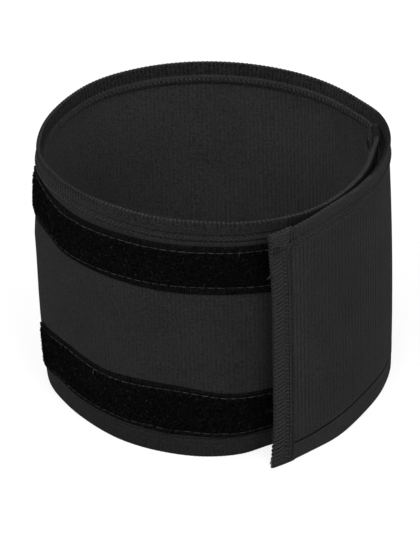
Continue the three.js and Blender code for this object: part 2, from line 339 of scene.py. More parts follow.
def outer_radius(turn, height):
    """The outer face's distance from the axis: a belly up to the shoulder, a straight flare above it, and the
    swell under the upper tape."""
    shoulder = curve(LAYOUT, "shoulder", turn)
    foot = curve(LAYOUT, "foot", turn)
    rim = curve(LAYOUT, "rim", turn)
    up = height / SHOULDER_HEIGHT
    waist_up = WAIST_HEIGHT / SHOULDER_HEIGHT
    straight_waist = foot + (shoulder - foot) * waist_up
    belly = (curve(LAYOUT, "waist", turn) - straight_waist) * up * (1 - up) / (waist_up * (1 - waist_up))
    below = foot + (shoulder - foot) * up + belly
    above = shoulder + (rim - shoulder) * (height - SHOULDER_HEIGHT) / (BAND_HEIGHT - SHOULDER_HEIGHT)
    swell = SWELL * bump(turn, *SWELL_TURN) * bump(height, *SWELL_HEIGHT)
    return np.where(height > SHOULDER_HEIGHT, above, below) + swell


def place(turn, height, inset):
    """Points so far inside the outer face (negative is outside it)."""
    turn, height, inset = np.broadcast_arrays(turn, height, inset)
    turn = turn - curve(END_LEAN, "back", height) * step(turn, FREE_END - LEAN_REACH, FREE_END)
    radius = outer_radius(turn, height) - inset
    angle = np.radians(-turn)
    return np.stack([AXIS_X + radius * np.cos(angle), AXIS_Y + radius * np.sin(angle), height], -1)


def outward(turn):
    """The direction away from the axis."""
    angle = np.radians(-np.asarray(turn, float))
    return np.stack([np.cos(angle), np.sin(angle), np.zeros_like(angle)], -1)


# The length along the strip from its inner end, for every tenth of a degree
TURNS = np.linspace(INNER_END, FREE_END, round((FREE_END - INNER_END) * 10) + 1)
MIDDLE_LINE = place(TURNS, BAND_HEIGHT / 2, 0.0)
LENGTHS = np.concatenate([[0.0], np.cumsum(np.linalg.norm(np.diff(MIDDLE_LINE, axis=0), axis=1))])
STRIP_LENGTH = float(LENGTHS[-1])
RIBS = np.concatenate([[0.0], np.cumsum(np.diff(LENGTHS) / curve(RIB_PITCHES, "pitch", TURNS[1:]))])


def turn_at(along):
    return np.interp(along, LENGTHS, TURNS)


def along_at(turn):
    return np.interp(turn, TURNS, LENGTHS)


def rib_at(along):
    """How many ribs there are from the inner end to here."""
    return np.interp(along, LENGTHS, RIBS)


def within(values, first, last):
    return (values >= first) & (values < last)


def add_object(name, data):
    thing = bpy.data.objects.new(name, data)
    bpy.context.scene.collection.objects.link(thing)
    return thing


def set_inputs(node, values):
    """Sets a shader node's sockets by name."""
    for name, value in values.items():
        node.inputs[name].default_value = value


def mesh_object(name, points, faces, material, uv=None):
    """A mesh from arrays of points and of faces that all have the same number of corners."""
    mesh = bpy.data.meshes.new(name)
    faces = np.asarray(faces, np.int32)
    corners = faces.shape[1]
    mesh.vertices.add(len(points))
    mesh.vertices.foreach_set("co", np.asarray(points, np.float32).ravel())
    mesh.loops.add(faces.size)
    mesh.loops.foreach_set("vertex_index", faces.ravel())
    mesh.polygons.add(len(faces))
    mesh.polygons.foreach_set("loop_start", np.arange(0, faces.size, corners, dtype=np.int32))
    mesh.polygons.foreach_set("use_smooth", np.ones(len(faces), bool))
    mesh.update(calc_edges=True)
    mesh.validate()
    if uv is not None:
        layer = mesh.uv_layers.new(name="cloth")
        layer.data.foreach_set("uv", np.asarray(uv, np.float32)[faces.ravel()].ravel())
    mesh.materials.append(material)
    piece = add_object(name, mesh)
    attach(piece, "root")
    return piece


def grid_faces(columns, rows):
    """Quads between neighbouring columns of closed sections, and the two ends closed by quads across them."""
    column, row = np.meshgrid(np.arange(columns - 1), np.arange(rows), indexing="ij")
    here = column * rows + row
    there = column * rows + (row + 1) % rows
    sides = np.stack([here, here + rows, there + rows, there], -1).reshape(-1, 4)
    half = rows // 2
    low = np.arange(half - 1)
    start = np.stack([low, low + 1, rows - 2 - low, rows - 1 - low], -1)
    end = (columns - 1) * rows + start[:, ::-1]
    return np.concatenate([sides, start, end])


def swept_piece(name, along, sections, material, weave=None):
    """A closed solid through sections: each row is (height, inset) for all the columns, up the outside and
    down the inside, with as many rows there. The weave is where the material's ribs are taken from."""
    heights = np.stack([row[0] for row in sections], 1)
    insets = np.stack([row[1] for row in sections], 1)
    turns = turn_at(along)[:, None]
    points = place(turns, heights, insets).reshape(-1, 3)
    weave = along if weave is None else weave
    uv = np.stack([np.broadcast_to(weave[:, None], heights.shape), heights], -1).reshape(-1, 2)
    return mesh_object(name, points, grid_faces(len(along), len(sections)), material, uv)


def threads(name, batches, material):
    """One mesh of many threads. A batch is (paths, normals, radius, sides): paths is (threads, points, 3),
    normals point away from the cloth, and the tips are drawn in."""
    all_points, all_faces, start = [], [], 0
    for paths, normals, radius, sides in batches:
        count, length = paths.shape[:2]
        tangent = np.gradient(paths, axis=1)
        tangent /= np.linalg.norm(tangent, axis=2, keepdims=True) + 1e-12
        side = np.cross(tangent, normals)
        side /= np.linalg.norm(side, axis=2, keepdims=True) + 1e-12
        up = np.cross(side, tangent)
        thickness = np.ones(length)
        thickness[[0, -1]] = TIP_SHARE
        angle = np.arange(sides) * 2 * math.pi / sides
        ring = (np.cos(angle)[:, None] * side[:, :, None] + np.sin(angle)[:, None] * up[:, :, None])
        radii = np.broadcast_to(np.asarray(radius, float).reshape(-1, 1, 1, 1), (count, 1, 1, 1))
        tube = paths[:, :, None] + ring * radii * thickness[None, :, None, None]
        all_points.append(tube.reshape(-1, 3))
        k, i, j = np.meshgrid(np.arange(count), np.arange(length - 1), np.arange(sides), indexing="ij")
        here = (k * length + i) * sides + j
        next_one = (k * length + i) * sides + (j + 1) % sides
        quads = np.stack([here, next_one, next_one + sides, here + sides], -1).reshape(-1, 4)
        all_faces.append(quads + start)
        start += tube.size // 3
    return mesh_object(name, np.concatenate(all_points), np.concatenate(all_faces), material)


# Materials


def grey(value):
    """A nearly neutral colour, a little cool."""
    return (value, value, value * 1.03, 1)


def cloth_material(name, dark, light, roughness, specular, fleck_size, relief, course_pitch=0.0,
                   rib_pitch=0.0, rib_share=0.0, sheen=0.0):
    """A cloth's shader: its colour wanders between two shades, has painted shade between its upright ribs and
    follows the painted light and shade stored on the mesh. It has a fine relief of flecks and knitted
    courses."""
    material = bpy.data.materials.new(name)
    material.use_nodes = True
    nodes, links = material.node_tree.nodes, material.node_tree.links
    shader = nodes["Principled BSDF"]
    set_inputs(shader, {"Roughness": roughness, "Specular IOR Level": specular, "Sheen Weight": sheen})
    places = nodes.new("ShaderNodeTexCoord").outputs
    weave = nodes.new("ShaderNodeSeparateXYZ")
    links.new(places["UV"], weave.inputs[0])

    def noise(size, unevenness):
        node = nodes.new("ShaderNodeTexNoise")
        set_inputs(node, {"Scale": 1 / size, "Detail": 2.0, "Roughness": unevenness})
        links.new(places["Object"], node.inputs["Vector"])
        return node.outputs["Fac"]

    def maths(operation, *values):
        """The result of a Math node: each of its inputs is linked, or is a number."""
        node = nodes.new("ShaderNodeMath")
        node.operation = operation
        for socket, value in zip(node.inputs, values):
            if isinstance(value, float):
                socket.default_value = value
            else:
                links.new(value, socket)
        return node.outputs[0]

    def wave(operation, source, pitch):
        return maths(operation, maths("MULTIPLY", source, 2 * math.pi / pitch))

    flecks = noise(fleck_size, 0.65)
    patches = noise(fleck_size * PATCH_SIZE, 0.5)
    shade = maths("MULTIPLY_ADD", patches, PATCH_SHARE, maths("MULTIPLY", flecks, 1 - PATCH_SHARE))
    # Painted shade between the ribs and painted light on their tops
    if rib_pitch:
        shade = maths("MULTIPLY_ADD", wave("COSINE", weave.outputs["X"], rib_pitch), rib_share, shade)
    shades = nodes.new("ShaderNodeValToRGB")
    for element, position, value in zip(shades.color_ramp.elements, SHADE_LIMITS, (dark, light)):
        element.position = position
        element.color = grey(value)
    links.new(shade, shades.inputs["Fac"])
    # The painted light and shade stored on the mesh scales the colour
    painted_shading = nodes.new("ShaderNodeAttribute")
    painted_shading.attribute_name = "painted_shading"
    painted_colour = nodes.new("ShaderNodeVectorMath")
    painted_colour.operation = "SCALE"
    links.new(shades.outputs["Color"], painted_colour.inputs[0])
    links.new(maths("ADD", painted_shading.outputs["Fac"], 1.0), painted_colour.inputs["Scale"])
    links.new(painted_colour.outputs[0], shader.inputs["Base Color"])
    height = flecks
    if course_pitch:
        height = maths("MULTIPLY_ADD", wave("SINE", weave.outputs["Y"], course_pitch), COURSE_SHARE, flecks)
    bumps = nodes.new("ShaderNodeBump")
    set_inputs(bumps, {"Strength": 1.0, "Distance": relief})
    links.new(height, bumps.inputs["Height"])
    links.new(bumps.outputs["Normal"], shader.inputs["Normal"])
    return material


def knit_material(name, dark, light, rib_share, fleck_size=0.00055, relief=0.00012):
    """One of the strip's knits."""
    weave = (COURSE_PITCH, RIB_PITCH, rib_share)
    return cloth_material(name, dark, light, 0.95, 0.02, fleck_size, relief, *weave)


def thread_material(name, dark, light, roughness, specular, fleck_size, sheen=0.0):
    """A thread, with no ribs or courses of its own."""
    return cloth_material(name, dark, light, roughness, specular, fleck_size, THREAD_RELIEF, sheen=sheen)


KNIT = knit_material("knitted_elastic", 0.0056, 0.0122, 0.03)
# The inner face: the same knit painted lighter, for the light it lacks inside the ring
KNIT_BACK_PAINTED_LIGHT = knit_material("knitted_back_painted_light", 0.0078, 0.0172, 0.03, 0.00065, 0.00014)
# The same painted light, with more painted shade between its ribs
KNIT_BACK_PAINTED_LIGHT_RIBBED = knit_material("knitted_back_painted_light_ribbed", 0.0076, 0.0172, 0.05, 0.00065, 0.00014)
# The hem's inner face at the fold: the same knit painted darker as shade, also used for painted shadow
KNIT_FOLD_SHADE = knit_material("knitted_fold_painted_shade", 0.0016, 0.0082, 0.05)
# The folded edge's crest: painted highlight, with strong painted shade between its ribs
KNIT_CREST_HIGHLIGHT = knit_material("knitted_crest_painted_highlight", 0.0046, 0.0156, 0.12)
KNIT_HEM = knit_material("knitted_hem", 0.0034, 0.0112, 0.06, 0.00060, 0.00014)
KNIT_DRAWN = knit_material("knitted_drawn", 0.0050, 0.0128, 0.06)
# Painted shade in the free end's lower stitch groove
KNIT_GROOVE_SHADE = cloth_material("knitted_groove_painted_shade", 0.0005, 0.0026, 0.95, 0.0, 0.00055, 0.00006)
COVER_THREAD = thread_material("cover_thread", 0.0060, 0.0158, 0.85, 0.02, 0.0004)
KNIT_THREAD = thread_material("hem_thread", 0.0075, 0.0180, 0.85, 0.03, 0.0003)
SELVEDGE = cloth_material("tape_selvedge", 0.0004, 0.0036, 0.9, 0.0, 0.0007, 0.00004, 0.0006, TICK_PITCH,
                          0.11, TAPE_SHEEN)
PILE = thread_material("looped_pile", 0.00005, 0.0026, 0.95, 0.0, 0.0006, TAPE_SHEEN)
# Pale fibres and painted glints: pile loops made lighter
SPECK_GLINT = thread_material("pile_speck_and_glint", 0.0025, 0.013, 0.9, 0.0, 0.0012)
TAPE_THREAD = thread_material("tape_thread", 0.006, 0.020, 0.8, 0.03, 0.0010)
HOOKS = cloth_material("hook_tape", 0.002, 0.004, 0.7, 0.1, 0.0004, 0.00004, 0.0007)


# The knitted strip


def end_shares(along):
    """How much of the inner end's hem and of the free end's hem there is, from 0 to 1."""
    inner = 1 - step(along, END_HEM, END_HEM + END_STEP)
    free = step(along, STRIP_LENGTH - END_HEM - END_STEP, STRIP_LENGTH - END_HEM)
    return inner, free


def rib(along, height, side):
    """The knit's upright ribs: a wave along the strip that wanders a little and is stronger on some ribs."""
    number = rib_at(along) + 0.06 * np.sin(height * 190 + along * 31) * side
    strength = 0.75 + 0.25 * np.sin(along * 1700 + 2.1 * side) * np.sin(along * 613 + height * 40)
    strength = strength * (1 + 0.9 * bump(along, STRIP_LENGTH - 0.015, 0.016))
    share, middle, reach = STRONG_RIBS["outside" if side > 0 else "inside"]
    strength = strength * (1 + share * bump(turn_at(along), middle, reach))
    return RIB_RELIEF * strength * np.cos(2 * math.pi * number)


def band_sections(along):
    """The strip's section for every column, up the outside, over the upper edge and down the inside."""
    inner, free = end_shares(along)
    turn = turn_at(along)
    wall = WALL + (HEM_WALL - WALL) * np.maximum(inner, free)
    top = BAND_HEIGHT + FREE_RISE * free - INNER_DROP * inner - NOTCH * bump(along, END_HEM + 0.0003, 0.0012)
    top = top + FRONT_RISE * bump(turn, *FRONT_TURN)
    lift = FOOT_LIFT * bump(along, STRIP_LENGTH - END_HEM - 0.006, 0.016) * (1 - free)
    waver = 0.00010 * np.sin(along * 420) * np.sin(along * 171 + 1)
    outside = []
    inside = []

    def edge(degrees, upper):
        level, upright = math.cos(math.radians(degrees)), math.sin(math.radians(degrees))
        across = FOLD_WALL / 2 * (1 - math.copysign(abs(level) ** EDGE_SQUARENESS, level))
        rounding = EDGE_HEIGHT * (1 - upright ** EDGE_SQUARENESS)
        crimp = 1.4 * RIB_RELIEF * np.cos(2 * math.pi * rib_at(along)) * (1 if upper else 0.3)
        crimp = crimp * (1 - 0.6 * step(turn, 340, 350))
        height = top - rounding + crimp * upright if upper else lift + rounding - crimp * upright + 0.00005
        return height, across - crimp * level

    def out(height, inset=0.0, ribs=1.0):
        height = height + 0 * along
        seam = STRIP_LENGTH - SEAM - CORNER_SHIFT * step(height, 0.086, 0.090)
        seam_dip = SEAM_DEPTH * bump(along, seam, 0.0003)
        outside.append((height, inset + seam_dip - ribs * rib(along, height, 1)))

    def inn(height, inset, ribs=1.0):
        height = height + 0 * along
        inside.append((height, inset + ribs * rib(along, height, -1)))

    outside += [edge(degrees, False) for degrees in reversed(EDGE_ANGLES)]
    out(0.0022 + lift * 0.7, 0, 0.5)
    out(0.0038 + lift * 0.4, 0, 0.5)
    out(INNER_ROW, 0.00005, 0.4)
    groove = curve(LOWER_GROOVE, "height", turn) + waver
    groove_depth = curve(LOWER_GROOVE, "depth", turn)
    for away, share in LOWER_CUT:
        out(groove + away, groove_depth * share, 0.4)
    for height in OUTSIDE_HEIGHTS:
        out(height)
    for away, depth in UPPER_CUT:
        out(BAND_HEIGHT - OUTER_ROW + waver + away, depth, 0.4)
    for away, depth in NEEDLE_CUT:
        out(BAND_HEIGHT - INNER_ROW + away, depth, 0.4)
    out(BAND_HEIGHT - 0.0036, 0, 0.5)
    out(BAND_HEIGHT - 0.0021, 0, 0.5)
    outside += [edge(degrees, True) for degrees in EDGE_ANGLES]

    # The hem's inner face, from its edge: distance from the edge, inset and share of the ribs
    ridge = RIDGE_WALL + 0.00016 + 0.00012 * np.sin(along * 2 * math.pi / STITCH_PITCH)
    hem = [
        (0.0019, (HEM_WALL + FOLD_WALL) / 2, 1),
        (0.0034, HEM_WALL, 1),
        (RIDGE_NEAR - 0.0006, HEM_WALL - 0.0001, 0.6),
        (RIDGE_NEAR - 0.0002, HEM_WALL, 0.3),
        (RIDGE_NEAR + 0.0002, ridge, 0),
        ((RIDGE_NEAR + RIDGE_FAR) / 2, ridge + 0.0001, 0),
        (RIDGE_FAR - 0.0003, ridge, 0),
        (RIDGE_FAR + 0.0001, wall - 0.00004, 0.3),
        (RIDGE_FAR + 0.0005, wall - 0.00002, 0.6),
        (RIDGE_FAR + 0.0012, wall, 1),
    ]
    inside += [edge(180 - degrees, True) for degrees in reversed(EDGE_ANGLES)]
    for from_edge, inset, ribs in hem:
        inn(BAND_HEIGHT - from_edge, inset, ribs)
    for height in INSIDE_HEIGHTS:
        inn(height, wall)
    for from_edge, inset, ribs in reversed(hem):
        inn(from_edge, inset, ribs)
    inside += [edge(180 - degrees, False) for degrees in EDGE_ANGLES]
    return outside, inside


def rounded_ends(along, sections):
    """Draws the section's faces together over the last stretch of each end, so that its fold is round."""
    fold = HEM_WALL / 2
    away = np.minimum(along, STRIP_LENGTH - END_STOP - along)
    share = np.sqrt(np.clip(1 - (1 - np.clip(away / fold, 0.02, 1)) ** 2, 0, 1))
    return [(height, fold + (inset - fold) * share) for height, inset in sections]


def add_painted_shading(piece, shares):
    """Stores the painted light and shade at each point: how much lighter, or darker below 0, the colour is
    made.
    """
    painted_shading = piece.data.attributes.new("painted_shading", "FLOAT", "POINT")
    painted_shading.data.foreach_set("value", (shares - 1).astype(np.float32).ravel())


def painted_shading_shares(along, rows):
    """The painted light and shade at each point of the strip, as shares of its material's own shades."""
    turn = turn_at(along)
    ribs = np.cos(2 * math.pi * rib_at(along))
    shares = np.ones((len(along), rows))
    for zone, (first, last) in PAINTED_SHADING_ROWS.items():
        share = share_at(turn, PAINTED_SHADING[zone])
        # Painted light on this zone's rib tops, and painted shade between them
        if zone in PAINTED_RIB_LIGHT:
            share = share * (1 + ribs * share_at(turn, PAINTED_RIB_LIGHT[zone]))
        shares[:, first:last] = share[:, None]
    return shares


def make_band():
    count = int(STRIP_LENGTH / (RIB_PITCH / 4))
    along = np.linspace(0, STRIP_LENGTH - END_STOP, count)
    near_ends = np.array([0.0001, 0.0003, 0.0006, 0.0009])
    seam = STRIP_LENGTH - SEAM + np.array(SEAM_COLUMNS)
    along = np.unique(np.concatenate([along, near_ends, STRIP_LENGTH - END_STOP - near_ends, seam]))
    outside, inside = band_sections(along)
    rows = len(outside) + len(inside)
    sections = rounded_ends(along, outside + inside)
    band = swept_piece("band_knit", along, sections, KNIT, rib_at(along) * RIB_PITCH)
    # Painted light and shade on the strip, zone by zone and turn by turn
    add_painted_shading(band, painted_shading_shares(along, rows))

    # Each face's row, counted from the lower edge and from the upper one, and its place along the strip
    face = np.arange(len(band.data.polygons))
    row = face % rows
    from_top = row - len(outside)
    sides = face < (len(along) - 1) * rows
    place_along = along[np.minimum(face // rows, len(along) - 1)]
    from_free = STRIP_LENGTH - place_along

    def between(start, end):
        return within(place_along, along_at(start), along_at(end))

    # Painted highlight on the folded edge's crest
    wide = within(from_top, -3, 3) & (place_along < along_at(HIGHLIGHT_WIDE_TO))
    crest = (wide | within(from_top, -2, 1)) & (place_along > END_HEM) & ~between(*UNDER_FREE_END)
    # Painted shadow of the overlapping free end on the inner layer's hem
    painted_shadow = within(from_top, -16, -3) & between(*PAINTED_SHADOW_HEM)
    # Painted shade on the hem's inner face near the fold
    fold = (within(from_top, -2, HEM_ROWS - 2) & ~crest) | painted_shadow
    front = within(from_top, -6, -2) & (place_along < along_at(UNDER_FREE_END[0])) & ~crest & ~painted_shadow
    # Painted shade in the lower groove on the free end
    groove = within(row, GROOVE_ROW, GROOVE_ROW + 3) & (place_along > along_at(GROOVE_SHADE_FROM))
    drawn = (row > GROOVE_ROW + 5) & (from_top < -16) & within(from_free, *DRAWN_KNIT)
    # The inner face, painted lighter for the light it lacks inside the ring
    back = within(from_top, HEM_ROWS + 1, len(inside) - HEM_ROWS - 2)
    # Painted light and shade among these looks: the inner face lighter, the fold darker, the crest's
    # highlight, the groove's shade and the shadow behind the free end
    looks = [(KNIT_BACK_PAINTED_LIGHT, back), (KNIT_FOLD_SHADE, fold), (KNIT_CREST_HIGHLIGHT, crest),
             (KNIT_GROOVE_SHADE, groove & (from_free > END_HEM)), (KNIT_HEM, front), (KNIT_DRAWN, drawn),
             (KNIT_BACK_PAINTED_LIGHT_RIBBED, back & between(*RIBBED_BACK))]
    kinds = np.zeros(len(face), np.int32)
    for number, (material, faces) in enumerate(looks, 1):
        band.data.materials.append(material)
        kinds[faces & sides] = number
    band.data.polygons.foreach_set("material_index", kinds)
    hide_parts("band")
    return band


# Stitches on the hems


def laid(along, height, lift, inside=None):
    """Paths that stand so far off the strip's outer face, or off an inner face at a depth, and normals."""
    turn = turn_at(along)
    if inside is None:
        return place(turn, height, -lift), outward(turn)
    return place(turn, height, inside + lift), -outward(turn)


def arch(t):
    """Rises from 0 to 1 and falls back to 0."""
    return np.sin(t * math.pi)[None]


def wander(amount, starts):
    """A random shift for each of the threads that start there."""
    return random.normal(0, amount, (len(starts), 1))


def straight_row(line, start, end, pitch, radius, lift, inside=None, fill=0.86):
    """Separate straight stitches at a height or along a table's column, each sunk at both its ends."""
    count = int((end - start) / pitch)
    first = start + np.arange(count) * pitch
    t = np.linspace(0, 1, 6)
    along = first[:, None] + pitch * (0.5 + fill * (t - 0.5))[None]
    height = (line if isinstance(line, float) else curve(*line, turn_at(along))) + wander(0.00004, first)
    bow = lift + radius * 0.9 * arch(t) - radius * 0.6
    return (*laid(along, height, bow, inside), radius, 5)


def crossing_row(near, far, start, end, radius, lift, inside=None, ways=(0, 1), run=1.05):
    """The threads that cross between two needle rows: each stitch goes over and back, as in a braid."""
    count = int((end - start) / STITCH_PITCH)
    first = start + np.arange(count) * STITCH_PITCH
    t = np.linspace(0, 1, 6)
    batches = []
    for way in ways:
        across = t if way == 0 else 1 - t
        along = first[:, None] + STITCH_PITCH * (0.1 + run * t[None] + 0.5 * way) + wander(0.00008, first)
        height = near + (far - near) * across[None] + wander(0.00005, first)
        bow = lift + radius * (1.1 * arch(t) + 0.35 * way)
        batches.append((*laid(along, height, bow, inside), radius, 4))
    return batches


def paint_shading_by_turn(piece, shares):
    """Paints light and shade on a piece: its colour lighter or darker by where it is round the axis."""
    points = np.empty(len(piece.data.vertices) * 3, np.float32)
    piece.data.vertices.foreach_get("co", points)
    x, y, _ = points.reshape(-1, 3).T
    turn = np.degrees(-np.arctan2(y - AXIS_Y, x - AXIS_X)) % 360
    add_painted_shading(piece, share_at(turn, shares))


def make_hem_stitches(name, upper):
    """One hem's stitches: needle rows and crossing threads outside, the thick cover stitch inside."""

    def level(from_edge):
        return BAND_HEIGHT - from_edge if upper else from_edge

    start, end = END_HEM + 0.0004, STRIP_LENGTH - END_HEM - 0.0004
    near, far = level(INNER_ROW), level(OUTER_ROW)
    outer_end = end if upper else along_at(OUTER_ROW_TO)
    needle = [
        straight_row(near, start, end, NEEDLE_PITCH, 0.00016, -0.00004 if upper else -0.00012),
        straight_row(far, start, outer_end, NEEDLE_PITCH, 0.00017, -0.00018),
    ]
    if upper:
        needle += crossing_row(near * 0.8 + far * 0.2, near * 0.2 + far * 0.8, start, end, 0.00020, 0.00008)
    near, far = level(RIDGE_NEAR + 0.0003), level(RIDGE_FAR - 0.0004)
    cover = [
        straight_row(near, start, end, STITCH_PITCH, 0.00020, 0.00012, RIDGE_WALL),
        straight_row(far, start, end, STITCH_PITCH, 0.00020, 0.00004, RIDGE_WALL),
    ]
    cover += crossing_row(near, far, start, end, 0.00044, -0.00008, RIDGE_WALL, ways=(0,), run=0.5)
    cover += crossing_row(near, far, start, end, 0.00020, 0.00016, RIDGE_WALL, ways=(1,), run=0.7)
    needle_piece = threads(f"stitches_{name}", needle, KNIT_THREAD if upper else KNIT_HEM)
    if upper:
        # Painted light and shade on the upper hem's stitches, by turn
        paint_shading_by_turn(needle_piece, UPPER_STITCH_SHADING)
    return needle_piece, threads(f"cover_stitch_{name}", cover, COVER_THREAD)


# Overlocked ends


def from_end(free, away):
    """The place along the strip that is so far from one of its ends."""
    return STRIP_LENGTH - away if free else away


def overlock_feet(low, high):
    """The height of each overlock stitch, evenly from low to high."""
    count = int((high - low) / OVERLOCK_PITCH)
    return (low + (np.arange(count) + 0.5) * (high - low) / count)[:, None]


def overlock_strokes(free, low, high):
    """The slanting threads on the outer face: pairs that leave the end level and rise away from it."""
    foot = overlock_feet(low, high)
    t = np.linspace(0, 1, 9)
    batches = []
    for pair in (0, 1):
        away = OVERLOCK_START + (OVERLOCK_REACH - OVERLOCK_START) * t[None] + wander(0.0001, foot)
        height = foot + 0.0011 * t[None] ** 2 + pair * 0.00050 + wander(0.00007, foot)
        bow = 0.00016 + 0.00014 * arch(t) + wander(0.00003, foot)
        batches.append((*laid(from_end(free, away), height, bow), 0.00020, 5))
    return batches


def overlock_knots(free, low, high):
    """The short stitches that lock those threads: they fall as they go away from the end."""
    foot = overlock_feet(low, high)
    t = np.linspace(0, 1, 7)
    away = OVERLOCK_REACH - 0.0002 + 0.0021 * t[None] + wander(0.00012, foot)
    height = foot + 0.0017 - 0.0009 * t[None] + wander(0.00008, foot)
    return [(*laid(from_end(free, away), height, 0.00006 + 0.00020 * arch(t)), 0.00022, 5)]


def overlock_wraps(free, low, high):
    """Where the same threads go round the end's fold to the inner face."""
    foot = overlock_feet(low, high)
    angle = np.linspace(0, math.pi, 9)
    half = HEM_WALL / 2
    batches = []
    for pair in (0, 1):
        away = half * 0.9 - (half * 0.9 + 0.00005) * np.sin(angle)[None] + wander(0.00005, foot)
        inset = half - (half + 0.00014) * np.cos(angle)[None] + 0 * away
        height = foot + pair * 0.00047 - 0.00012 * angle[None] + 0 * away
        turn = turn_at(from_end(free, away))
        paths = place(turn, height, inset)
        normals = paths - place(turn, height, half)
        normals /= np.linalg.norm(normals, axis=2, keepdims=True) + 1e-9
        batches.append((paths, normals, 0.00023, 5))
    return batches


def overlock_back(free, low, high):
    """The threads on the inner face: they run level from the fold to the hem's inner stitch row."""
    foot = overlock_feet(low, high)
    t = np.linspace(0, 1, 7)
    away = 0.0003 + (OVERLOCK_REACH + 0.0022) * t[None] + wander(0.0001, foot)
    height = foot - 0.0004 - 0.0009 * t[None] + 0 * away
    return [(*laid(from_end(free, away), height, 0.0001 + 0.00012 * arch(t), HEM_WALL), 0.00020, 5)]


def column_of_knots(free, away, low, high, pitch, inside=None):
    """A column of chain stitches: small loops, each standing in the one below."""
    count = int((high - low) / pitch)
    foot = low + np.arange(count) * pitch
    t = np.linspace(0, 1, 9)
    side = 0.00036 * np.sin(t * 2 * math.pi)
    along = from_end(free, away + side[None] + wander(0.00004, foot))
    height = foot[:, None] + pitch * 1.15 * (0.5 - 0.5 * np.cos(t * 2 * math.pi))[None] + 0 * along
    bow = 0.0001 + 0.0001 * arch(t)
    if inside is None:
        return [(*laid(along, height, bow + 0.00006), 0.00021, 5)]
    return [(*laid(along, height, bow, inside), 0.00017, 5)]


def end_row(free, away, low, high):
    """A row of upright straight stitches beside the overlock."""
    count = int((high - low) / END_ROW_PITCH)
    t = np.linspace(0, 1, 6)
    height = low + np.arange(count)[:, None] * END_ROW_PITCH + END_ROW_PITCH * (0.06 + 0.88 * t[None])
    return (*laid(from_end(free, away + 0 * height), height, 0.00002 + 0.00010 * arch(t)), 0.00015, 5)


def corner_patch():
    """The free end's folded corner: close threads along its top, a border and short upright threads."""
    batches = []
    t = np.linspace(0, 1, 13)
    for k in range(6):
        height = BAND_HEIGHT + FREE_RISE - 0.0007 - k * (0.00080 + 0.00014 * step(t, 0.1, 0.9))
        reach = 0.0079 - 0.0016 * max(0, k - 3) / 2
        along = from_end(True, 0.0003 + reach * t)[None]
        heights = (height + 0.00010 * np.sin(t * 9 + k))[None]
        batches.append((*laid(along, heights, 0.00022 + 0.00014 * arch(t)), 0.00024, 6))
    bend = np.linspace(0.2, 1.57, 6)
    away = np.concatenate([np.full(7, CORNER_WIDTH), CORNER_WIDTH - CORNER_ROUND * (1 - np.cos(bend))])
    height = np.concatenate([np.linspace(0.0953, CORNER_FOOT, 7), CORNER_FOOT - CORNER_ROUND * np.sin(bend)])
    batches.append((*laid(from_end(True, away)[None], height[None], 0.00026), 0.00030, 6))
    t = np.linspace(0, 1, 6)
    for away in (0.0006, 0.0014, 0.0022, 0.0030, 0.0038):
        along = from_end(True, away + 0 * t)[None]
        batches.append((*laid(along, (0.0876 + 0.0028 * t)[None], 0.00024), 0.00020, 5))
    return batches


def make_overlock(name, free):
    """One end's overlock, with its chain rows, its straight row and the free end's corner."""
    top = FREE_OVERLOCK_TOP if free else INNER_OVERLOCK_TOP
    whole = BAND_HEIGHT - 0.0004
    batches = overlock_strokes(free, 0.0012, top - 0.0016)
    batches += overlock_wraps(free, 0.0008, whole)
    batches += overlock_back(free, 0.0018, whole)
    batches += overlock_knots(free, 0.0012, top - 0.0016)
    batches += column_of_knots(free, 0.0068, 0.0014, top - 0.001, OVERLOCK_PITCH)
    batches += column_of_knots(free, 0.0082, 0.0014, top + 0.001, 0.0024, HEM_WALL)
    batches.append(end_row(free, SEAM, 0.0012, top))
    if free:
        batches += corner_patch()
    return threads(name, batches, KNIT_THREAD)


# Loop tapes


def tape_lift(side, turn):
    """How far a tape stands off the band: only its cut end at the left does."""
    last = TAPES[side][-1]["turn"]
    return TAPE_END_LIFT[side] * step(turn, last - TAPE_END_REACH, last)


